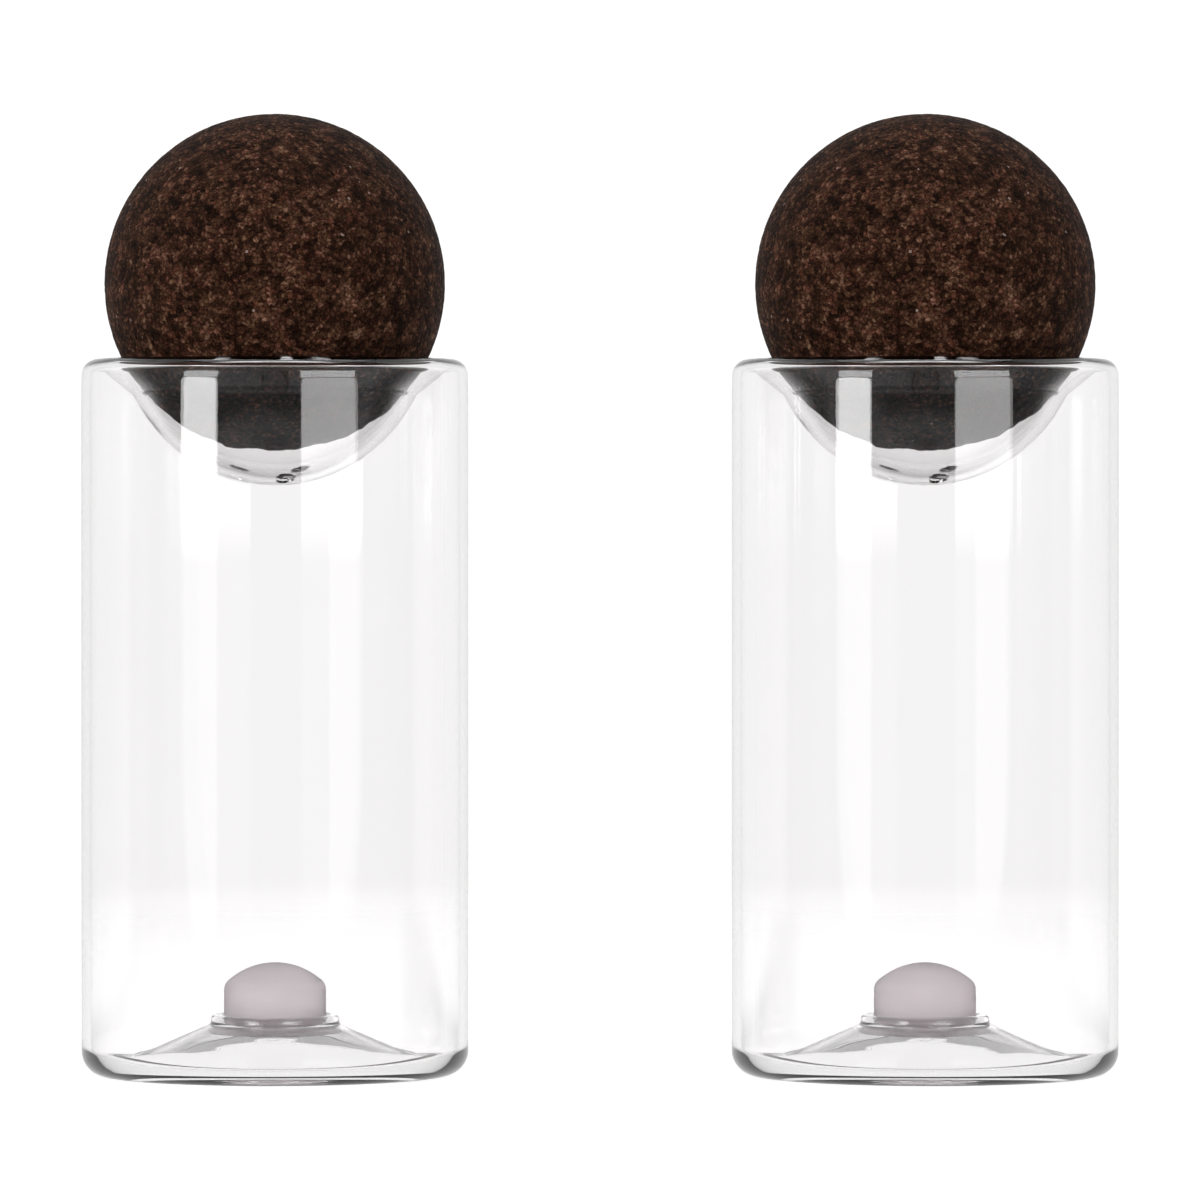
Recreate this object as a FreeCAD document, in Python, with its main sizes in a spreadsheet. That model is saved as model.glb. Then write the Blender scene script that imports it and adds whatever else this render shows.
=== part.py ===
import FreeCAD, Part
import Sketcher
import collections
import math
import os

# A pair of blown glass shakers for salt and pepper, standing side by side along X.
# Each is one piece of glass: a tube whose rim rolls inward and down into a bowl, and whose
# base is pushed up into a cone with a hole for filling. Three pour holes go through the floor
# of the bowl. A cork ball lies in the mouth of the bowl as its lid, and a soft plug closes
# the hole in the base from below. The origin is on the table, midway between the two.

SIZES = {
    "spacing": 84.0,             # between the axes of the two shakers
    "glass_radius": 25.0,
    "glass_height": 92.5,
    "wall": 1.2,                 # thickness of the glass in the tube, the rim and the bowl
    "rim_bend": 2.0,
    "shoulder_radius": 18.9,     # centre of the bend on which the ball rests
    "shoulder_height": 87.3,
    "shoulder_bend": 2.0,
    "bowl_floor_height": 77.4,
    "bowl_bend": 18.9,
    "pour_hole_diameter": 2.2,
    "pour_hole_count": 3,
    "pour_hole_pitch_radius": 4.8,
    "pour_hole_turn": 48.0,      # degrees from +X to the first hole
    "foot_bend": 3.2,
    "foot_edge_radius": 19.6,    # centre of the small bend at the inner edge of the foot ring
    "foot_edge_bend": 0.6,
    "fill_hole_radius": 6.65,
    "fill_hole_height": 6.6,     # lower edge of the fill hole
    "lip_radius": 8.3,
    "lip_height": 7.9,
    "lip_bend": 0.6,
    "lip_foot_height": 7.1,      # centre of the bend between the lip and the cone
    "crease_radius": 16.4,       # ring on the inside where the floor meets the cone
    "crease_height": 3.1,
    "floor_height": 1.6,
    "floor_bend": 2.2,
    "ball_radius": 22.0,
    "ball_gap": 0.06,            # clearance that stands for the loose contact of ball and bowl
    "plug_radius": 6.6,
    "plug_top_height": 14.6,
    "plug_dome_bend": 9.0,
    "plug_shoulder_height": 11.0,
    "plug_shoulder_bend": 1.8,
    "plug_collar_height": 6.5,   # where the top of the flange meets the stem
    "flange_radius": 8.6,
    "flange_bend": 0.45,
    "flange_height": 5.2,        # middle of the flange's rounded edge
    "grip_radius": 4.6,          # finger recess in the underside of the plug
    "grip_depth": 2.4,
    "grip_bar_width": 2.0,       # bar across the recess, by which the plug is pulled
}

ROOT_POINT = (-1, 1)
HORIZONTAL_AXIS = -1
VERTICAL_AXIS = -2
START, END, CENTRE = 1, 2, 3
UP = FreeCAD.Vector(0, 0, 1)

# One curve of an outline, and the ends at which the outline enters and leaves it.
Stretch = collections.namedtuple("Stretch", "curve enter leave is_arc")


def make_sheet(doc):
    """Put the driving dimensions in a spreadsheet, one named cell each."""
    sheet = doc.addObject("Spreadsheet::Sheet", "sizes")
    for row, (name, size) in enumerate(SIZES.items(), start=1):
        sheet.set(f"A{row}", name)
        sheet.set(f"B{row}", str(size))
        sheet.setAlias(f"B{row}", name)
    doc.recompute()


def make_body(doc, name, place_x):
    """Make an empty body that stands at place_x along X."""
    body = doc.addObject("PartDesign::Body", name)
    body.Label = name
    body.setExpression("Placement.Base.x", place_x)
    return body


def make_sketch(body, name, plane_role):
    """Make a sketch on one of the body's own origin planes."""
    sketch = body.newObject("Sketcher::SketchObject", name)
    planes = {feature.Role: feature for feature in body.Origin.OriginFeatures}
    sketch.AttachmentSupport = (planes[plane_role], "")
    sketch.MapMode = "FlatFace"
    return sketch


def bind(sketch, constraint, expression):
    """Add a dimension to a sketch and drive it by an expression."""
    index = sketch.addConstraint(constraint)
    sketch.setExpression(f"Constraints[{index}]", expression)


def place_point(sketch, curve, point, across, up):
    """Hold a point of a curve at a distance across and up from the sketch's origin."""
    x, y = (float(sketch.evalExpression(text)) for text in (across, up))
    if x == 0:
        sketch.addConstraint(Sketcher.Constraint("PointOnObject", curve, point, VERTICAL_AXIS))
    else:
        bind(sketch, Sketcher.Constraint("DistanceX", *ROOT_POINT, curve, point, x), across)
    bind(sketch, Sketcher.Constraint("DistanceY", *ROOT_POINT, curve, point, y), up)


def heading_between(bend, next_bend):
    """Direction of the straight line that leaves one bend and meets the next smoothly."""
    x, y, turn = bend
    next_x, next_y, next_turn = next_bend
    distance = math.hypot(next_x - x, next_y - y)
    return math.atan2(next_y - y, next_x - x) - math.asin((next_turn - turn) / distance)


def point_on(bend, heading):
    """Point of a bend at which the outline runs in the direction heading."""
    x, y, turn = bend
    return FreeCAD.Vector(x + turn * math.sin(heading), y - turn * math.cos(heading), 0)


def add_line(sketch, start, end):
    """Add a straight stretch of an outline."""
    line = sketch.addGeometry(Part.LineSegment(start, end), False)
    return Stretch(line, START, END, False)


def add_arc(sketch, bend, heading_in, heading_out):
    """Add a bend's arc. A sketch's arc always runs anticlockwise from its start to its end."""
    x, y, turn = bend
    circle = Part.Circle(FreeCAD.Vector(x, y, 0), UP, abs(turn))
    quarter = math.copysign(math.pi / 2, turn)
    angles = (heading_in - quarter, heading_out - quarter)
    if turn > 0:
        arc = sketch.addGeometry(Part.ArcOfCircle(circle, *angles), False)
        return Stretch(arc, START, END, True)
    arc = sketch.addGeometry(Part.ArcOfCircle(circle, *reversed(angles)), False)
    return Stretch(arc, END, START, True)


def draw_outline(sketch, bends):
    """Draw half of a round piece's section, closed along the axis.

    Each bend is three expressions: its centre's distance from the axis, its height and its
    bend radius, positive where the outline turns left, negative where it turns right and 0
    at a sharp corner. Straight lines join the bends smoothly. A first or last bend that is
    centred on the axis starts or ends there.
    """
    sizes = [tuple(float(sketch.evalExpression(text)) for text in bend) for bend in bends]
    headings = [heading_between(*pair) for pair in zip(sizes, sizes[1:])]
    headings_in = [0.0] + headings
    headings_out = headings + [math.pi]
    chain = []
    for index, ((across, height, turn), size) in enumerate(zip(bends, sizes)):
        is_round = size[2] != 0
        if is_round:
            arc = add_arc(sketch, size, headings_in[index], headings_out[index])
            chain.append(arc)
            place_point(sketch, arc.curve, CENTRE, across, height)
            radius = Sketcher.Constraint("Radius", arc.curve, abs(size[2]))
            bind(sketch, radius, f"abs({turn})")
        if index < len(headings):
            heading = headings[index]
            line = add_line(sketch, point_on(size, heading), point_on(sizes[index + 1], heading))
            chain.append(line)
            if not is_round:
                place_point(sketch, line.curve, START, across, height)
    for before, after in zip(chain, chain[1:]):
        kind = "Tangent" if before.is_arc or after.is_arc else "Coincident"
        sketch.addConstraint(
            Sketcher.Constraint(kind, before.curve, before.leave, after.curve, after.enter))
    close_on_axis(sketch, chain, point_on(sizes[-1], math.pi), point_on(sizes[0], 0.0))


def close_on_axis(sketch, chain, from_point, to_point):
    """Join the two ends of an outline by a line along the axis."""
    closing = add_line(sketch, from_point, to_point)
    first, last = chain[0], chain[-1]
    ends = ((last, last.leave, closing.enter), (first, first.enter, closing.leave))
    for stretch, end, closing_end in ends:
        sketch.addConstraint(Sketcher.Constraint(
            "Coincident", stretch.curve, end, closing.curve, closing_end))
        if stretch.is_arc:
            sketch.addConstraint(Sketcher.Constraint(
                "PointOnObject", stretch.curve, end, VERTICAL_AXIS))


def revolve(body, name, bends):
    """Turn an outline about Z into the body's first solid."""
    sketch = make_sketch(body, f"{name}_outline", "XZ_Plane")
    draw_outline(sketch, bends)
    solid = body.newObject("PartDesign::Revolution", name)
    solid.Profile = sketch
    solid.ReferenceAxis = (sketch, ["V_Axis"])
    solid.Angle = 360


def bowl_bends():
    """The bowl's upper side from the axis out to the rim."""
    return [
        ("0", "sizes.bowl_floor_height + sizes.bowl_bend", "sizes.bowl_bend"),
        ("sizes.shoulder_radius", "sizes.shoulder_height", "-sizes.shoulder_bend"),
        ("sizes.glass_radius - sizes.rim_bend", "sizes.glass_height - sizes.rim_bend",
         "-sizes.rim_bend"),
    ]


def underside(bends):
    """The same bends on the other side of the glass, walked the other way."""
    return [(across, up, f"-({turn} + sizes.wall)") for across, up, turn in reversed(bends)]


def foot_bends():
    """The outside of the base, from the wall over the foot ring to the fill hole."""
    return [
        ("sizes.glass_radius - sizes.foot_bend", "sizes.foot_bend", "-sizes.foot_bend"),
        ("sizes.foot_edge_radius", "sizes.foot_edge_bend", "-sizes.foot_edge_bend"),
        ("sizes.fill_hole_radius", "sizes.fill_hole_height", "0"),
    ]


def floor_bends():
    """The inside of the base, from the lip of the fill hole over the cone to the wall."""
    lip_centre = "sizes.lip_height - sizes.lip_bend"
    inner_radius = "sizes.glass_radius - sizes.wall"
    return [
        ("sizes.fill_hole_radius + sizes.lip_bend", lip_centre, "-sizes.lip_bend"),
        ("sizes.lip_radius - sizes.lip_bend", lip_centre, "-sizes.lip_bend"),
        ("sizes.lip_radius + sizes.lip_bend", "sizes.lip_foot_height", "sizes.lip_bend"),
        ("sizes.crease_radius", "sizes.crease_height", "0"),
        (f"{inner_radius} - sizes.floor_bend", "sizes.floor_height + sizes.floor_bend",
         "sizes.floor_bend"),
    ]


def cut_pour_holes(body):
    """Drill one pour hole up through the bowl's floor and repeat it round the axis."""
    sketch = make_sketch(body, "pour_hole_outline", "XY_Plane")
    inside = "sizes.bowl_floor_height - 2 * sizes.pour_hole_pitch_radius"
    sketch.setExpression("AttachmentOffset.Base.z", inside)
    sketch.setExpression("AttachmentOffset.Rotation.Angle", "sizes.pour_hole_turn")
    pitch_radius = sketch.evalExpression("sizes.pour_hole_pitch_radius")
    radius = sketch.evalExpression("sizes.pour_hole_diameter / 2")
    centre = FreeCAD.Vector(pitch_radius, 0, 0)
    circle = sketch.addGeometry(Part.Circle(centre, UP, radius), False)
    on_axis = Sketcher.Constraint("PointOnObject", circle, CENTRE, HORIZONTAL_AXIS)
    sketch.addConstraint(on_axis)
    across = Sketcher.Constraint("DistanceX", *ROOT_POINT, circle, CENTRE, pitch_radius)
    bind(sketch, across, "sizes.pour_hole_pitch_radius")
    bind(sketch, Sketcher.Constraint("Radius", circle, radius), "sizes.pour_hole_diameter / 2")
    hole = body.newObject("PartDesign::Pocket", "pour_hole")
    hole.Profile = sketch
    hole.Type = "ThroughAll"
    hole.Reversed = True
    body.Document.recompute()
    pattern = body.newObject("PartDesign::PolarPattern", "pour_holes")
    pattern.Originals = [hole]
    pattern.Axis = (sketch, ["N_Axis"])
    pattern.Angle = 360
    pattern.setExpression("Occurrences", "sizes.pour_hole_count")
    body.Tip = pattern


def make_glass(doc, name, place_x):
    """One shaker's glass, with its bowl, its coned base and its holes."""
    body = make_body(doc, name, place_x)
    bowl = bowl_bends()
    revolve(body, "blown_glass", bowl + foot_bends() + floor_bends() + underside(bowl))
    doc.recompute()
    cut_pour_holes(body)
    return body


def make_ball(doc, name, place_x):
    """The cork ball, at the height at which it rests on the shoulder of the bowl."""
    ball = doc.addObject("Part::Sphere", name)
    ball.Label = name
    ball.setExpression("Radius", "sizes.ball_radius")
    reach = "sizes.ball_radius + sizes.ball_gap + sizes.shoulder_bend"
    height = f"sizes.shoulder_height + sqrt(({reach})^2 - sizes.shoulder_radius^2)"
    ball.setExpression("Placement.Base.x", place_x)
    ball.setExpression("Placement.Base.z", height)
    return ball


def make_plug(doc, name, place_x):
    """The soft plug: a domed stem on a flange that follows the cone, with a recessed grip."""
    body = make_body(doc, name, place_x)
    edge_radius = "sizes.flange_radius - sizes.flange_bend"
    flange_bottom = "sizes.flange_height - sizes.flange_bend"
    revolve(body, "stem_and_flange", [
        ("0", flange_bottom, "0"),
        (edge_radius, "sizes.flange_height", "sizes.flange_bend"),
        ("sizes.plug_radius", "sizes.plug_collar_height", "0"),
        ("sizes.plug_radius - sizes.plug_shoulder_bend", "sizes.plug_shoulder_height",
         "sizes.plug_shoulder_bend"),
        ("0", "sizes.plug_top_height - sizes.plug_dome_bend", "sizes.plug_dome_bend"),
    ])
    doc.recompute()
    cut_grip(body, flange_bottom)
    return body


def cut_grip(body, flange_bottom):
    """Sink two half round recesses into the underside, with the grip bar between them."""
    sketch = make_sketch(body, "grip_outline", "XY_Plane")
    sketch.setExpression("AttachmentOffset.Base.z", flange_bottom)
    for side in (1, -1):
        draw_half_round(sketch, side)
    grip = body.newObject("PartDesign::Pocket", "grip")
    grip.Profile = sketch
    grip.Type = "Length"
    grip.setExpression("Length", "sizes.grip_depth")
    grip.Reversed = True


def draw_half_round(sketch, side):
    """Draw the segment of the grip's circle that lies on one side of the bar."""
    radius = sketch.evalExpression("sizes.grip_radius")
    half_bar = sketch.evalExpression("sizes.grip_bar_width / 2")
    start = math.asin(half_bar / radius)
    end = math.pi - start
    if side < 0:
        start, end = start + math.pi, end + math.pi
    circle = Part.Circle(FreeCAD.Vector(0, 0, 0), UP, radius)
    arc = sketch.addGeometry(Part.ArcOfCircle(circle, start, end), False)
    curve = sketch.Geometry[arc]
    chord = sketch.addGeometry(Part.LineSegment(curve.EndPoint, curve.StartPoint), False)
    sketch.addConstraint(Sketcher.Constraint("Coincident", arc, END, chord, START))
    sketch.addConstraint(Sketcher.Constraint("Coincident", chord, END, arc, START))
    sketch.addConstraint(Sketcher.Constraint("Coincident", arc, CENTRE, *ROOT_POINT))
    sketch.addConstraint(Sketcher.Constraint("Horizontal", chord))
    bind(sketch, Sketcher.Constraint("Radius", arc, radius), "sizes.grip_radius")
    offset = Sketcher.Constraint("DistanceY", *ROOT_POINT, chord, START, side * half_bar)
    bind(sketch, offset, f"{side} * sizes.grip_bar_width / 2")


def check(doc, parts):
    """Stop if any feature failed, if a sub-part isn't one valid solid, or if two overlap."""
    for item in doc.Objects:
        faults = {"Invalid", "Error"} & set(item.State)
        if faults:
            raise RuntimeError(f"{item.Label}: {faults}")
    for part in parts:
        shape = part.Shape
        if shape.isNull() or not shape.isValid() or len(shape.Solids) != 1:
            raise RuntimeError(f"{part.Label} isn't one valid solid")
    for index, part in enumerate(parts):
        for other in parts[index + 1:]:
            if part.Shape.common(other.Shape).Volume > 0:
                raise RuntimeError(f"{part.Label} overlaps {other.Label}")


def main():
    doc = FreeCAD.newDocument("salt_and_pepper_shakers")
    make_sheet(doc)
    parts = []
    for name, place_x in (("salt", "-sizes.spacing / 2"), ("pepper", "sizes.spacing / 2")):
        parts.append(make_glass(doc, f"{name}_glass", place_x))
        parts.append(make_ball(doc, f"{name}_cork_ball", place_x))
        parts.append(make_plug(doc, f"{name}_base_plug", place_x))
    doc.recompute()
    check(doc, parts)
    os.makedirs("parts", exist_ok=True)
    for part in parts:
        part.Shape.exportStep(f"parts/{part.Label}.step")
        print(f"{part.Label}: {part.Shape.Volume:.1f} mm3")


main()
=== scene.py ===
import math

import bmesh
import bpy
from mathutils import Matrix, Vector, noise


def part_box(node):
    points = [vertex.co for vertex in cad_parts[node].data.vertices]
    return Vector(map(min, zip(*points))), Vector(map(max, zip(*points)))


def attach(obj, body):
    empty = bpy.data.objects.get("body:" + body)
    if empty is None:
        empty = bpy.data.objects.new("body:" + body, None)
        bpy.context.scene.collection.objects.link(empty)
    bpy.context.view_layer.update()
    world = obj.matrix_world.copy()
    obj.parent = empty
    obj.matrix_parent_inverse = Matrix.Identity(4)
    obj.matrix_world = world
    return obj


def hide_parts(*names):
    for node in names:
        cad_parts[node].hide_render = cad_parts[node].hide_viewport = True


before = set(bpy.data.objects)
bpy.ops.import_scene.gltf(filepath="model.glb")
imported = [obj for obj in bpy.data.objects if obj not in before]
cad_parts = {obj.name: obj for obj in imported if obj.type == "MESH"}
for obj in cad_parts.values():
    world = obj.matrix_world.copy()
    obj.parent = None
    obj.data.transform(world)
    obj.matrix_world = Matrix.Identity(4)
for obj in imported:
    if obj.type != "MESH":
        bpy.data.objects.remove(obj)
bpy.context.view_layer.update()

# A pair of salt and pepper shakers: clear blown glass, dark pressed cork balls as lids and
# grey silicone plugs in the base. The glass, the balls and the plugs are built finely here
# and stand for their CAD nodes. Lengths are in metres, in the row's frame.

MM = 0.001
SHAKERS = ("salt", "pepper")


def box_facts(node):
    """Where a round CAD node stands: its axis, its radius, its bottom and its top."""
    low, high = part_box(node)
    return (low.x + high.x) / 2, (high.x - low.x) / 2, low.z, high.z


# ---------------------------------------------------------------- outlines of round pieces

ARC_STEP = math.radians(6)


def heading_between(bend, next_bend):
    """Direction of the straight line that leaves one bend and meets the next smoothly."""
    x, y, turn = bend
    next_x, next_y, next_turn = next_bend
    distance = math.hypot(next_x - x, next_y - y)
    return math.atan2(next_y - y, next_x - x) - math.asin((next_turn - turn) / distance)


def point_on(bend, heading):
    """Point of a bend at which the outline runs in the direction heading."""
    x, y, turn = bend
    return (x + turn * math.sin(heading), y - turn * math.cos(heading))


def arc_points(bend, heading_in, heading_out):
    """Points along one bend, from the heading at which it is entered to the one it leaves at."""
    turn = bend[2]
    if turn == 0:
        return [(bend[0], bend[1])]
    swept = (heading_out - heading_in) % (2 * math.pi)
    if turn < 0:
        swept -= 2 * math.pi
    steps = max(2, math.ceil(abs(swept) / ARC_STEP))
    return [point_on(bend, heading_in + swept * step / steps) for step in range(steps + 1)]


def outline_points(bends, spacing):
    """Points of an outline made of bends (radius, height, turn) joined by straight lines.

    A turn is positive to the left, negative to the right and 0 at a sharp corner. Straight
    stretches are divided so that no step is longer than spacing.
    """
    headings = [heading_between(*pair) for pair in zip(bends, bends[1:])]
    points = []
    for bend, heading_in, heading_out in zip(bends, [0.0] + headings, headings + [math.pi]):
        for point in arc_points(bend, heading_in, heading_out):
            if points:
                points.extend(divided(points[-1], point, spacing))
            points.append(point)
    return points


def divided(start, end, spacing):
    """Points between two others, spaced no wider than spacing."""
    parts = math.ceil(math.dist(start, end) / spacing)
    return [
        tuple(a + (b - a) * part / parts for a, b in zip(start, end)) for part in range(1, parts)
    ]


def lathe(name, points, steps, shape=None):
    """Turn an outline that starts and ends on the axis into a closed mesh of revolution.

    shape moves each point: it takes the angle, the radius and the height and gives new ones
    of the last two.
    """
    mesh = bmesh.new()
    rings = []
    for radius, height in points:
        if radius < 1e-7:
            rings.append([mesh.verts.new((0, 0, height))])
            continue
        ring = []
        for step in range(steps):
            angle = 2 * math.pi * step / steps
            r, z = shape(angle, radius, height) if shape else (radius, height)
            ring.append(mesh.verts.new((r * math.cos(angle), r * math.sin(angle), z)))
        rings.append(ring)
    for lower, upper in zip(rings, rings[1:]):
        for step in range(steps):
            following = (step + 1) % steps
            corners = [lower[step % len(lower)], lower[following % len(lower)],
                       upper[following % len(upper)], upper[step % len(upper)]]
            mesh.faces.new(list(dict.fromkeys(corners)))
    for face in mesh.faces:
        face.smooth = True
    return finish_mesh(name, mesh)


def finish_mesh(name, mesh):
    """Make an object of a bmesh, with its faces turned outward."""
    bmesh.ops.recalc_face_normals(mesh, faces=mesh.faces)
    data = bpy.data.meshes.new(name)
    mesh.to_mesh(data)
    mesh.free()
    piece = bpy.data.objects.new(name, data)
    bpy.context.collection.objects.link(piece)
    return piece


# ---------------------------------------------------------------- the glass

GLASS_STEPS = 224
GLASS_SPACING = 1.0 * MM
WALL = 1.2 * MM
BOWL_FLOOR = 77.4 * MM
BOWL_BEND = 18.9 * MM
SHOULDER_RADIUS = 18.9 * MM
SHOULDER_HEIGHT = 87.3 * MM
RIM_BEND = 2.0 * MM          # the shoulder of the bowl bends as tightly as the rim
FOOT_BEND = 3.2 * MM
FOOT_RADIUS = 19.6 * MM      # inner edge of the ring that the glass stands on
HOLE_RADIUS = 6.65 * MM      # the fill hole in the base
HOLE_HEIGHT = 6.6 * MM
LIP_BEND = 0.6 * MM          # the small bends at the foot ring and round the fill hole
LIP_HEIGHT = 7.3 * MM
CONE_RADIUS = 16.4 * MM      # where the cone inside meets the flat floor
CONE_HEIGHT = 3.1 * MM
CORNER_BEND = 2.2 * MM       # between the floor and the wall, inside
CORNER_HEIGHT = 3.8 * MM
LEAN = 0.1 * MM
RIPPLE_SIZE = 9 * MM
RIPPLE_DEPTH = 0.12 * MM
RIPPLE_EDGE = (14 * MM, 17 * MM)         # the ripples die out towards the bowl's edge
CONE_RIPPLE_EDGE = (8.5 * MM, 10.5 * MM)  # and towards the fill hole
POUR_HOLES = 3
POUR_HOLE_RADIUS = 1.1 * MM
POUR_CIRCLE = 4.8 * MM
FIRST_POUR_HOLE = 48         # degrees


def glass_bends(radius, height):
    """The section of the blown glass: the bowl, the rim, the wall, the foot, the cone."""
    bowl = [
        (0, BOWL_FLOOR + BOWL_BEND, BOWL_BEND),
        (SHOULDER_RADIUS, SHOULDER_HEIGHT, -RIM_BEND),
        (radius - RIM_BEND, height - RIM_BEND, -RIM_BEND),
    ]
    foot = [
        (radius - FOOT_BEND, FOOT_BEND, -FOOT_BEND),
        (FOOT_RADIUS, LIP_BEND, -LIP_BEND),
        (HOLE_RADIUS, HOLE_HEIGHT, 0),
    ]
    floor = [
        (HOLE_RADIUS + LIP_BEND, LIP_HEIGHT, -LIP_BEND),
        (HOLE_RADIUS + LIP_BEND + 0.45 * MM, LIP_HEIGHT, -LIP_BEND),
        (HOLE_RADIUS + LIP_BEND + 1.65 * MM, LIP_HEIGHT - 0.2 * MM, LIP_BEND),
        (CONE_RADIUS, CONE_HEIGHT, 0),
        (radius - WALL - CORNER_BEND, CORNER_HEIGHT, CORNER_BEND),
    ]
    underside = [(x, y, -(turn + WALL)) for x, y, turn in reversed(bowl)]
    return bowl + foot + floor + underside


def smooth_step(value, start, end):
    """0 before start, 1 after end, and a smooth rise between them."""
    share = min(1.0, max(0.0, (value - start) / (end - start)))
    return share * share * (3 - 2 * share)


def hand_blown(angle, radius, height):
    """Give the glass the marks of hand work: a wall that leans in under the rim, and ripples."""
    under_rim = smooth_step(height, 87.5 * MM, 92.5 * MM)
    lean = LEAN * under_rim * smooth_step(radius, 19 * MM, 23 * MM)
    place = Vector((radius * math.cos(angle), radius * math.sin(angle), height)) / RIPPLE_SIZE
    rippled = 1 - smooth_step(radius, *RIPPLE_EDGE)
    if height <= BOWL_FLOOR - 2 * WALL:
        rippled *= smooth_step(radius, *CONE_RIPPLE_EDGE)
    return radius - lean, height + RIPPLE_DEPTH * rippled * noise.noise(place)


def cut_holes(glass):
    """Drill the pour holes through the floor of the bowl."""
    mesh = bmesh.new()
    for index in range(POUR_HOLES):
        angle = math.radians(FIRST_POUR_HOLE + 360 / POUR_HOLES * index)
        middle = BOWL_FLOOR - 0.2 * MM
        place = Vector((POUR_CIRCLE * math.cos(angle), POUR_CIRCLE * math.sin(angle), middle))
        made = bmesh.ops.create_cone(
            mesh, cap_ends=True, segments=32, radius1=POUR_HOLE_RADIUS,
            radius2=POUR_HOLE_RADIUS, depth=5 * WALL)
        bmesh.ops.translate(mesh, verts=made["verts"], vec=place)
    subtract(glass, finish_mesh("drill", mesh))


def subtract(piece, cutter):
    """Cut one object out of another for good, and throw the cutter away."""
    cut = piece.modifiers.new("cut", "BOOLEAN")
    cut.operation = "DIFFERENCE"
    cut.solver = "EXACT"
    cut.object = cutter
    graph = bpy.context.evaluated_depsgraph_get()
    data = bpy.data.meshes.new_from_object(piece.evaluated_get(graph))
    piece.modifiers.clear()
    piece.data = data
    bpy.data.objects.remove(cutter)


def make_glass(shaker):
    """One shaker's glass."""
    node = f"{shaker}_glass"
    axis, radius, _, height = box_facts(node)
    points = outline_points(glass_bends(radius, height), GLASS_SPACING)
    glass = lathe(f"{shaker}_blown_glass", points, GLASS_STEPS, hand_blown)
    cut_holes(glass)
    glass.location.x = axis
    glass.data.materials.append(materials["glass"])
    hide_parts(node)
    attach(glass, f"{shaker}_shaker")


# ---------------------------------------------------------------- the cork ball

BALL_CUTS = 124          # cuts along each edge of the cube that the ball is rounded from
CHIP_SIZE = 2.2 * MM
CRUMB_SIZE = 0.8 * MM
DENT_SIZE = 4.5 * MM
GAP_DEPTH = 0.05 * MM
CRUMB_DEPTH = 0.06 * MM
DENT_DEPTH = 0.9 * MM


def cork_relief(outward, place):
    """Depth of the cork's surface below the true ball: gaps, crumbs, dents low down."""
    bent = place + 0.4 * CHIP_SIZE * noise.noise_vector(place / CHIP_SIZE)
    near = noise.voronoi(bent / CHIP_SIZE)[0]
    gap = max(0.0, 1 - (near[1] - near[0]) / 0.25)
    crumb = 0.5 + 0.5 * noise.noise(place / CRUMB_SIZE)
    rough = smooth_step(-outward.z, 0.5, 0.8)
    dent = 0.5 + 0.5 * noise.fractal(place / DENT_SIZE, 0.6, 2.0, 3)
    return GAP_DEPTH * gap ** 2 + CRUMB_DEPTH * crumb + DENT_DEPTH * rough * max(0.0, dent)


def make_ball(shaker):
    """One pressed cork ball, with the gaps between its chips modelled in the mesh."""
    node = f"{shaker}_cork_ball"
    axis, radius, low, high = box_facts(node)
    mesh = bmesh.new()
    bmesh.ops.create_cube(mesh, size=2)
    bmesh.ops.subdivide_edges(mesh, edges=mesh.edges, cuts=BALL_CUTS, use_grid_fill=True)
    for vert in mesh.verts:
        even = Vector(tuple(math.tan(c * math.pi / 4) for c in vert.co))
        outward = even.normalized()
        vert.co = outward * (radius - cork_relief(outward, outward * radius))
    for face in mesh.faces:
        face.smooth = True
    ball = finish_mesh(f"{shaker}_ball_of_cork", mesh)
    ball.location = (axis, 0, (low + high) / 2)
    ball.data.materials.append(materials["cork"])
    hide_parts(node)
    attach(ball, f"{shaker}_stopper")


# ---------------------------------------------------------------- the plug

PLUG_STEPS = 96
PLUG_SPACING = 0.8 * MM
FLANGE_BEND = 0.45 * MM
STEM_RADIUS = 6.6 * MM
STEM_HEIGHT = 6.5 * MM
HEAD_SHOULDER = (4.8 * MM, 11.0 * MM, 1.8 * MM)
DOME_BEND = 9.0 * MM
GRIP_RADIUS = 4.6 * MM
GRIP_DEPTH = 2.4 * MM
GRIP_BAR = 2.0 * MM


def cut_grip(plug, low):
    """Cut two half-round recesses into the plug's underside, which leave a bar to pull it by."""
    mesh = bmesh.new()
    corner = math.asin(GRIP_BAR / 2 / GRIP_RADIUS)
    for side in (0, math.pi):
        swept = math.pi - 2 * corner
        angles = [side + corner + swept * step / 24 for step in range(25)]
        corners = [mesh.verts.new((GRIP_RADIUS * math.cos(angle), GRIP_RADIUS * math.sin(angle),
                                   low - MM)) for angle in angles]
        sides = bmesh.ops.extrude_face_region(mesh, geom=[mesh.faces.new(corners)])["geom"]
        top = [item for item in sides if isinstance(item, bmesh.types.BMVert)]
        bmesh.ops.translate(mesh, verts=top, vec=(0, 0, GRIP_DEPTH + MM))
    subtract(plug, finish_mesh("grip", mesh))


def make_plug(shaker):
    """One soft plug, with its domed head, its flange and the grip in its underside."""
    node = f"{shaker}_base_plug"
    axis, radius, low, high = box_facts(node)
    bends = [
        (0, low, 0),
        (radius - FLANGE_BEND, low + FLANGE_BEND, FLANGE_BEND),
        (STEM_RADIUS, STEM_HEIGHT, 0),
        HEAD_SHOULDER,
        (0, high - DOME_BEND, DOME_BEND),
    ]
    plug = lathe(f"{shaker}_soft_plug", outline_points(bends, PLUG_SPACING), PLUG_STEPS)
    cut_grip(plug, low)
    plug.location.x = axis
    plug.data.materials.append(materials["silicone"])
    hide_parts(node)
    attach(plug, f"{shaker}_plug")


# ---------------------------------------------------------------- materials

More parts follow.
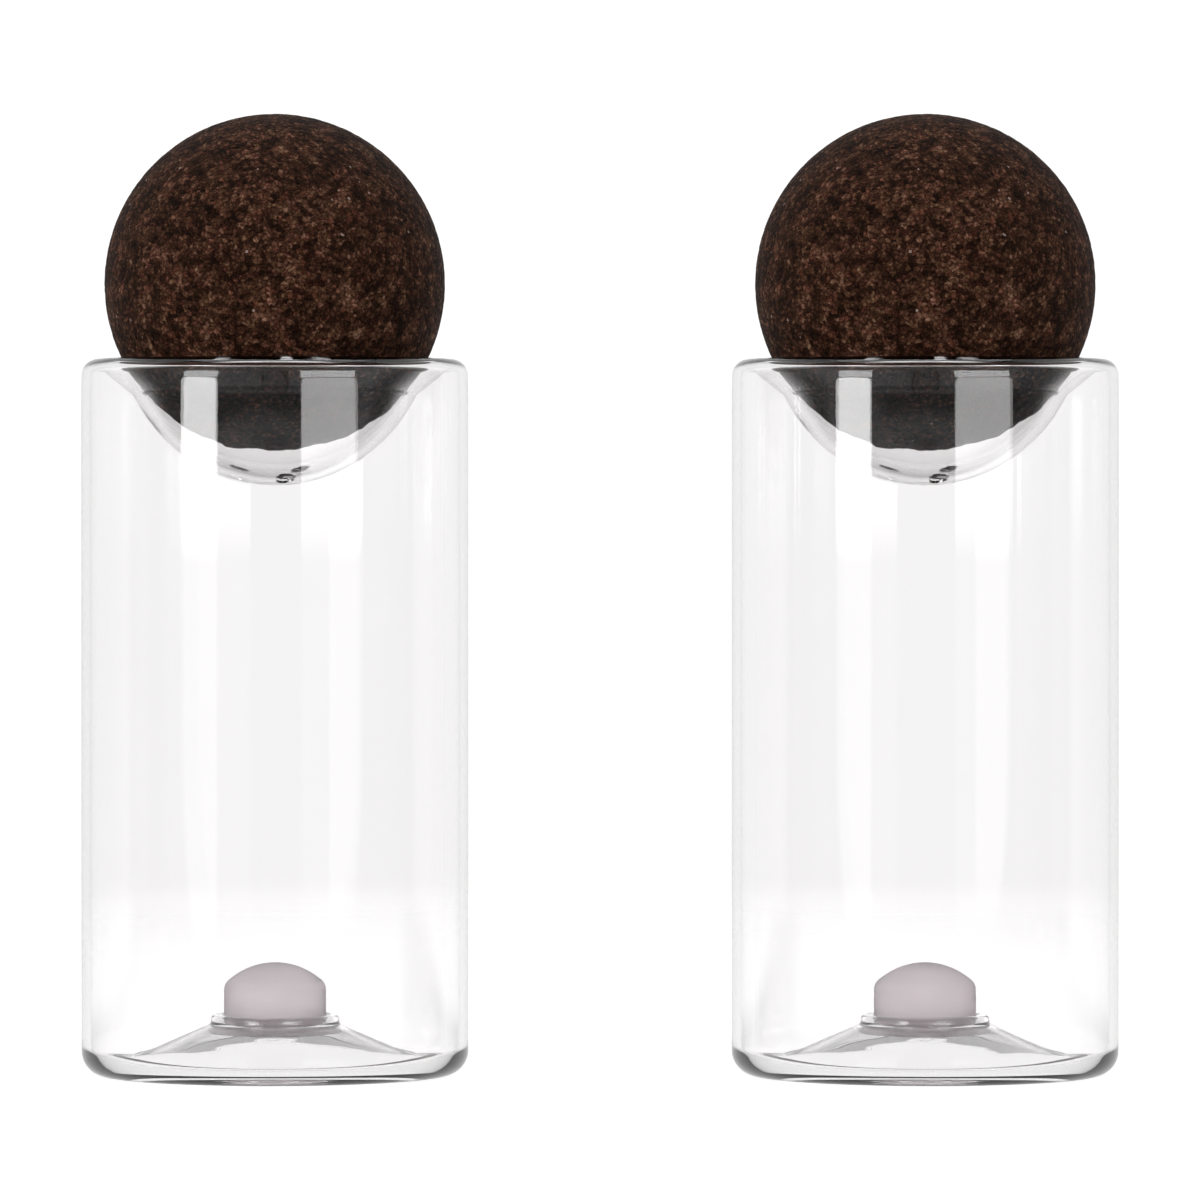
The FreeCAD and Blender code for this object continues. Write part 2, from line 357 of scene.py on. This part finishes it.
class Nodes:
    """A node tree with short ways to add nodes and join them."""

    def __init__(self, tree):
        self.tree = tree
        tree.nodes.clear()

    def add(self, kind, **settings):
        """Add a node, set its properties, and set or join its sockets.

        A setting whose name is a property of the node sets it. Any other is a socket, by its
        name with underscores for spaces or by i and its number. A number or a colour is set on
        it, and a socket is joined to it.
        """
        node = self.tree.nodes.new(kind)
        for name, value in settings.items():
            if hasattr(node, name):
                setattr(node, name, value)
                continue
            numbered = name[0] == "i" and name[1:].isdigit()
            self.put(node.inputs[int(name[1:]) if numbered else name.replace("_", " ")], value)
        return node

    def put(self, socket, value):
        """Set a socket, or join another to it."""
        if isinstance(value, bpy.types.NodeSocket):
            self.tree.links.new(value, socket)
        else:
            socket.default_value = value

    def math(self, operation, *values):
        """A Math node's result."""
        node = self.tree.nodes.new("ShaderNodeMath")
        node.operation = operation
        for socket, value in zip(node.inputs, values):
            self.put(socket, value)
        return node.outputs[0]

    def bend(self, place, scale, amount):
        """Coordinates pushed about by noise, so that cells get uneven edges."""
        push = self.add("ShaderNodeTexNoise", Vector=place, Scale=scale, Detail=3.0)
        bent = self.add("ShaderNodeVectorMath", operation="MULTIPLY_ADD")
        self.put(bent.inputs[0], push.outputs["Color"])
        self.put(bent.inputs[1], (amount, amount, amount))
        self.put(bent.inputs[2], place)
        return bent.outputs[0]

    def rise(self, value, start, end, low=0.0):
        """A smooth rise from low to 1 while the value goes from start to end."""
        node = self.add("ShaderNodeMapRange", interpolation_type="SMOOTHSTEP")
        for name, setting in zip(("Value", "From Min", "From Max", "To Min"), (value, start, end, low)):
            self.put(node.inputs[name], setting)
        return node.outputs[0]

    def sum(self, *terms):
        """The sum of values, each with its weight."""
        total = 0.0
        for value, weight in terms:
            total = self.math("MULTIPLY_ADD", value, weight, total)
        return total

    def mix(self, blend_type, share, first, second):
        """Two colours mixed."""
        node = self.add("ShaderNodeMix", data_type="RGBA", blend_type=blend_type)
        for index, value in ((0, share), (6, first), (7, second)):
            self.put(node.inputs[index], value)
        return node.outputs[2]

    def ramp(self, value, stops):
        """A colour ramp's colour. stops are (position, colour)."""
        node = self.tree.nodes.new("ShaderNodeValToRGB")
        self.put(node.inputs[0], value)
        elements = node.color_ramp.elements
        while len(elements) < len(stops):
            elements.new(1.0)
        for element, (position, colour) in zip(elements, stops):
            element.position = position
            element.color = (*colour, 1)
        return node.outputs[0]


def srgb(red, green, blue):
    """A colour given in screen values from 0 to 255, as the linear values that shaders use."""
    values = (red / 255, green / 255, blue / 255)
    return tuple(v / 12.92 if v <= 0.04045 else ((v + 0.055) / 1.055) ** 2.4 for v in values)


def new_material(name):
    """A material with an empty tree and its output."""
    material = bpy.data.materials.new(name)
    material.use_nodes = True
    nodes = Nodes(material.node_tree)
    output = nodes.add("ShaderNodeOutputMaterial")
    return material, nodes, output


def in_millimetres(nodes):
    """The piece's own coordinates, scaled so that textures are measured in millimetres."""
    place = nodes.add("ShaderNodeTexCoord").outputs["Object"]
    return nodes.add("ShaderNodeMapping", Vector=place, Scale=(1000, 1000, 1000)).outputs[0]


def glass_material():
    """Clear borosilicate glass with a faint warm grey cast."""
    material, nodes, output = new_material("clear_glass")
    place = in_millimetres(nodes)
    streaks = nodes.add("ShaderNodeTexNoise", Vector=place, Scale=0.08, Detail=2.0)
    tint = nodes.ramp(
        streaks.outputs["Fac"], [(0.3, (0.989, 0.982, 0.984)), (0.7, (0.994, 0.987, 0.989))])
    shader = nodes.add(
        "ShaderNodeBsdfPrincipled", Base_Color=tint, Roughness=0.0, IOR=1.47,
        Transmission_Weight=1.0)
    nodes.put(output.inputs["Surface"], shader.outputs[0])
    return material


def cork_material():
    """Dark pressed cork: granules of many browns, woody fibres, dark gaps and pale flecks."""
    material, nodes, output = new_material("dark_cork")
    place = in_millimetres(nodes)
    bent = nodes.bend(place, 2.2, 0.65)
    granules = nodes.add("ShaderNodeTexVoronoi", Vector=bent, Scale=1.6)
    turn = nodes.add("ShaderNodeVectorMath", operation="SCALE", Scale=6.28)
    nodes.put(turn.inputs[0], granules.outputs["Color"])
    along = nodes.add("ShaderNodeVectorRotate", rotation_type="EULER_XYZ", Vector=place)
    nodes.put(along.inputs["Rotation"], turn.outputs[0])
    grain = nodes.add("ShaderNodeMapping", Vector=along.outputs[0], Scale=(1.0, 1.0, 0.4))
    fibres = nodes.add(
        "ShaderNodeTexNoise", Vector=grain.outputs[0], Scale=2.4, Detail=5.0, Roughness=0.75)
    patches = nodes.add("ShaderNodeTexNoise", Vector=place, Scale=0.35, Detail=3.0)
    random = nodes.add("ShaderNodeSeparateColor", i0=granules.outputs["Color"])
    edges = nodes.add(
        "ShaderNodeTexVoronoi", feature="DISTANCE_TO_EDGE", Vector=bent, Scale=1.6)
    inside = nodes.add("ShaderNodeMapRange", Value=edges.outputs["Distance"])
    inside.inputs["From Max"].default_value = 0.2

    tone = nodes.sum(
        (fibres.outputs["Fac"], 1.3), (random.outputs[0], 0.32),
        (patches.outputs["Fac"], 0.7), (inside.outputs[0], 0.15))
    brown = nodes.ramp(nodes.math("MULTIPLY", tone, 0.5), [
        (0.47, srgb(12, 5, 2)), (0.56, srgb(32, 17, 10)), (0.64, srgb(56, 35, 25)),
        (0.73, srgb(90, 61, 47)), (0.86, srgb(150, 114, 96))])
    hue = nodes.ramp(random.outputs[1], [
        (0.0, (1.12, 0.92, 0.9)), (0.4, (1.0, 1.0, 1.0)), (1.0, (0.97, 1.03, 0.9))])
    colour = nodes.mix("MULTIPLY", 1.0, brown, hue)

    specks = nodes.add("ShaderNodeTexVoronoi", Vector=nodes.bend(place, 3.0, 0.6), Scale=0.8)
    chosen = nodes.add("ShaderNodeSeparateColor", i0=specks.outputs["Color"]).outputs[1]
    fleck = nodes.math("MULTIPLY", nodes.math("GREATER_THAN", chosen, 0.95),
                       nodes.math("LESS_THAN", specks.outputs["Distance"], 0.16))
    colour = nodes.mix("MIX", fleck, colour, (*srgb(150, 128, 120), 1))

    height = nodes.sum((tone, 0.5), (random.outputs[2], 0.5), (inside.outputs[0], 0.5))
    bump = nodes.add("ShaderNodeBump", Height=height, Strength=1.0, Distance=0.2 * MM)
    shader = nodes.add(
        "ShaderNodeBsdfPrincipled", Base_Color=colour, Roughness=0.7,
        Specular_IOR_Level=0.06, Normal=bump.outputs[0])
    nodes.put(output.inputs["Surface"], shader.outputs[0])
    return material


def silicone_material():
    """Smoky grey silicone that lets light through without showing what is behind it."""
    material, nodes, output = new_material("grey_silicone")
    place = in_millimetres(nodes)
    cloud = nodes.add("ShaderNodeTexNoise", Vector=place, Scale=0.3, Detail=2.0)
    tint = nodes.ramp(
        cloud.outputs["Fac"], [(0.3, srgb(238, 229, 232)), (0.7, srgb(245, 236, 239))])
    shader = nodes.add(
        "ShaderNodeBsdfPrincipled", Base_Color=tint, Roughness=0.5, IOR=1.2,
        Transmission_Weight=0.6)
    nodes.put(output.inputs["Surface"], shader.outputs[0])
    return material


# ---------------------------------------------------------------- stage, light and camera

WHITE = (1.06, 1.06, 1.06, 1)         # the backdrop
HIGH_ROOM = (0.85, 0.85, 0.85, 1)     # the room behind and above, as mirrored in the glass
PAINT = (0.45, 0.45, 0.45, 1)
# Painted shade: after one or two mirror turns the floor's paint is darkened to this, so that the floor
# shows dark in the glass.
PAINTED_SHADE_IN_MIRRORS = (0.1, 0.1, 0.1, 1)
FLOOR_RADIUS = 0.6
FLOOR_FADE = 0.28
FLOOR_GLOW = 0.85


def through_glass(nodes):
    """1 for a ray that has met nothing but clear glass on its way from the camera, else 0.

    One or two mirror turns are a reflection of the room, which is dim. None, or more than
    two inside the glass, is light from behind.
    """
    path = nodes.add("ShaderNodeLightPath").outputs
    mirrored = nodes.math("COMPARE", path["Glossy Depth"], 1.5, 0.9)
    turned = nodes.math("MAXIMUM", mirrored, path["Diffuse Depth"])
    return nodes.math("LESS_THAN", turned, 0.5)


def painted_floor_glow(nodes, place, seen, diffuse):
    """How brightly the floor glows: fully in view, and dimly in most mirror images of it.

    It is bright for a ray that has passed few glass surfaces, as in the base, and well behind
    the shakers, and dimmer round their feet. This glow is painted light and shade, set by the
    floor's place and the ray's path rather than by a lamp. Light that it sends to the pieces is
    left to its paint.
    """
    # Painted light: in mirror images the floor's glow rises to full between 0.07 and 0.17 m behind the
    # shakers.
    behind = nodes.rise(nodes.add("ShaderNodeSeparateXYZ", Vector=place).outputs["Y"], 0.07, 0.17)
    spacing = box_facts("pepper_glass")[0]
    folded = nodes.add("ShaderNodeVectorMath", operation="ABSOLUTE", i0=place).outputs[0]
    offset = nodes.add("ShaderNodeVectorMath", operation="DISTANCE", i0=folded, i1=(spacing, 0, 0))
    # Painted light and shade: within 0.04 to 0.07 m of each shaker's axis the floor glows at 0.35 of
    # full in mirror images, dimmer than the floor behind.
    near = nodes.math("MULTIPLY", nodes.rise(offset.outputs["Value"], 0.07, 0.04), 0.35)
    # Painted light: the floor glows fully for a ray that has passed three glass surfaces or fewer,
    # which keeps the base light.
    surfaces = nodes.add("ShaderNodeLightPath").outputs["Transmission Depth"]
    shine = nodes.math("LESS_THAN", surfaces, 3.5)
    for part in (near, behind, seen):
        shine = nodes.math("MAXIMUM", shine, part)
    return nodes.math("MULTIPLY", shine, nodes.math("SUBTRACT", 1.0, diffuse))


def make_floor():
    """A round pale table that fades into the backdrop at its edge, and is clear from below."""
    material, nodes, output = new_material("pale_floor")
    place = nodes.add("ShaderNodeTexCoord").outputs["Object"]
    away = nodes.add("ShaderNodeVectorMath", operation="LENGTH", i0=place).outputs["Value"]
    seen = through_glass(nodes)
    diffuse = nodes.add("ShaderNodeLightPath").outputs["Is Diffuse Ray"]
    shine = painted_floor_glow(nodes, place, seen, diffuse)
    # The floor's glow is painted light: its strength is set by place and ray path, not by a lamp.
    glow = nodes.add("ShaderNodeEmission", Strength=nodes.math("MULTIPLY", shine, FLOOR_GLOW))
    # Painted shade: the floor takes the darker paint in its mirror images, and its own paint in view
    # and in the light it sends.
    paint = nodes.mix("MIX", nodes.math("MAXIMUM", seen, diffuse), PAINTED_SHADE_IN_MIRRORS, PAINT)
    white = nodes.add("ShaderNodeBsdfDiffuse", Color=paint)
    painted_glow_and_lit = nodes.add("ShaderNodeAddShader", i0=glow.outputs[0], i1=white.outputs[0])
    clear = nodes.add("ShaderNodeBsdfTransparent")
    below = nodes.add("ShaderNodeNewGeometry").outputs["Backfacing"]
    hidden = nodes.math("MAXIMUM", nodes.rise(away, FLOOR_FADE, FLOOR_RADIUS), below)
    mix = nodes.add("ShaderNodeMixShader", i0=hidden, i1=painted_glow_and_lit.outputs[0], i2=clear.outputs[0])
    nodes.put(output.inputs["Surface"], mix.outputs[0])
    mesh = bmesh.new()
    bmesh.ops.create_circle(mesh, cap_ends=True, segments=96, radius=FLOOR_RADIUS)
    floor = finish_mesh("floor", mesh)
    floor.location.z = -0.02 * MM
    floor.data.materials.append(material)


def make_world():
    """A white backdrop for what the camera sees, and a dimmer studio for reflections."""
    world = bpy.data.worlds.new("studio")
    world.use_nodes = True
    nodes = Nodes(world.node_tree)
    output = nodes.add("ShaderNodeOutputWorld")
    direction = nodes.add("ShaderNodeTexCoord").outputs["Generated"]
    axes = nodes.add("ShaderNodeSeparateXYZ", Vector=direction).outputs
    towards_back = nodes.math("MULTIPLY_ADD", axes["Y"], 0.5, 0.5)
    room = nodes.ramp(towards_back, [
        (0.0, (0.08,) * 3), (0.62, (0.08,) * 3), (0.82, (0.5,) * 3), (0.96, (0.95,) * 3)])
    scattered = nodes.add("ShaderNodeLightPath").outputs["Diffuse Depth"]
    high = nodes.rise(axes["Z"], 0.2, 0.45, low=0.55)
    high = nodes.math("MULTIPLY", high, nodes.math("GREATER_THAN", axes["Y"], 0.1))
    high = nodes.math("MULTIPLY", high, nodes.math("LESS_THAN", scattered, 0.5))
    room = nodes.mix("MIX", high, room, HIGH_ROOM)
    colour = nodes.mix("MIX", through_glass(nodes), room, WHITE)
    background = nodes.add("ShaderNodeBackground", Color=colour)
    nodes.put(output.inputs["Surface"], background.outputs[0])
    bpy.context.scene.world = world


PANEL_DISTANCE = 2.0
LOWER_PANEL = (0.5, 0.35)      # elevation in degrees, height in metres
UPPER_PANEL = (12, 0.446)
SHARP = (0.02, 0.02)           # how far a corner of a panel is rounded, across and up
ROUND = (0.1, 0.06)
SKIRT = (-0.0215, 0.0175)      # a panel that is mirrored darkens between these heights


def rounded_panel(width, height, corners):
    """A flat mesh with elliptical corners, listed from the lower left round to the upper left."""
    mesh = bmesh.new()
    outline = []
    for index, (across, up) in enumerate(corners):
        side = 1 if index in (1, 2) else -1
        level = 1 if index > 1 else -1
        for step in range(13):
            angle = math.pi + (index + step / 12) * math.pi / 2
            outline.append(mesh.verts.new((
                side * (width / 2 - across) + across * math.cos(angle),
                level * (height / 2 - up) + up * math.sin(angle), 0)))
    mesh.faces.new(outline)
    return mesh


def make_panel(name, azimuth, piece, width, corners, radiance, mirrored):
    """A glowing panel that faces the shakers. Azimuth 0 is the camera's side, 90 is +X."""
    elevation, height = piece
    turn, lift = math.radians(azimuth), math.radians(elevation)
    away = Vector((math.sin(turn) * math.cos(lift), -math.cos(turn) * math.cos(lift),
                   math.sin(lift)))
    material, nodes, output = new_material(name)
    strength = radiance
    if mirrored:
        up = nodes.add("ShaderNodeSeparateXYZ")
        nodes.put(up.inputs[0], nodes.add("ShaderNodeTexCoord").outputs["Object"])
        skirt = nodes.add(
            "ShaderNodeMapRange", Value=up.outputs["Y"], From_Min=SKIRT[0], From_Max=SKIRT[1],
            To_Min=0.1)
        strength = nodes.math("MULTIPLY", skirt.outputs[0], radiance)
    glow = nodes.add("ShaderNodeEmission", Strength=strength)
    nodes.put(output.inputs["Surface"], glow.outputs[0])
    panel = finish_mesh(name, rounded_panel(width, height, corners))
    panel.data.materials.append(material)
    panel.location = Vector((0, 0, 0.06)) + away * PANEL_DISTANCE
    panel.rotation_euler = away.to_track_quat("Z", "Y").to_euler()
    panel.visible_camera = False
    panel.visible_glossy = mirrored


def softbox(side, azimuth, width, lower_corners, lower_radiance, upper_radiance):
    """A softbox in two panels: the lower one is mirrored in the glass, the upper one isn't."""
    corners = lower_corners + [ROUND, ROUND]
    make_panel(f"{side}_softbox", azimuth, LOWER_PANEL, width, corners, lower_radiance, True)
    make_panel(f"{side}_upper", azimuth, UPPER_PANEL, width, [SHARP] * 4, upper_radiance, False)


def top_light():
    """A broad soft light straight above."""
    data = bpy.data.lights.new("top_light", "AREA")
    data.shape = "RECTANGLE"
    data.size = 1.4
    data.size_y = 1.0
    data.energy = 8.0
    light = bpy.data.objects.new("top_light", data)
    bpy.context.collection.objects.link(light)
    light.location = (0, 0, 1.6)
    light.visible_camera = False


def make_camera():
    """The camera, straight on and a little above the middle of the shakers."""
    data = bpy.data.cameras.new("camera")
    data.sensor_width = 36
    data.lens = 254.5
    camera = bpy.data.objects.new("camera", data)
    bpy.context.collection.objects.link(camera)
    camera.location = (0, -1.096, 0.072)
    aim = Vector((0, 0, 0.0614))
    camera.rotation_euler = (aim - camera.location).to_track_quat("-Z", "Y").to_euler()
    bpy.context.scene.camera = camera


materials = {
    "glass": glass_material(),
    "cork": cork_material(),
    "silicone": silicone_material(),
}
for shaker in SHAKERS:
    make_glass(shaker)
    make_ball(shaker)
    make_plug(shaker)

make_floor()
make_world()
softbox("left", -44.7, 0.774, [(0.7, 0.09), SHARP], 9.2, 19.0)
softbox("right", 34.1, 1.25, [SHARP, (1.2, 0.09)], 4.1, 9.0)
top_light()
make_camera()
bpy.context.scene.view_settings.view_transform = "Standard"
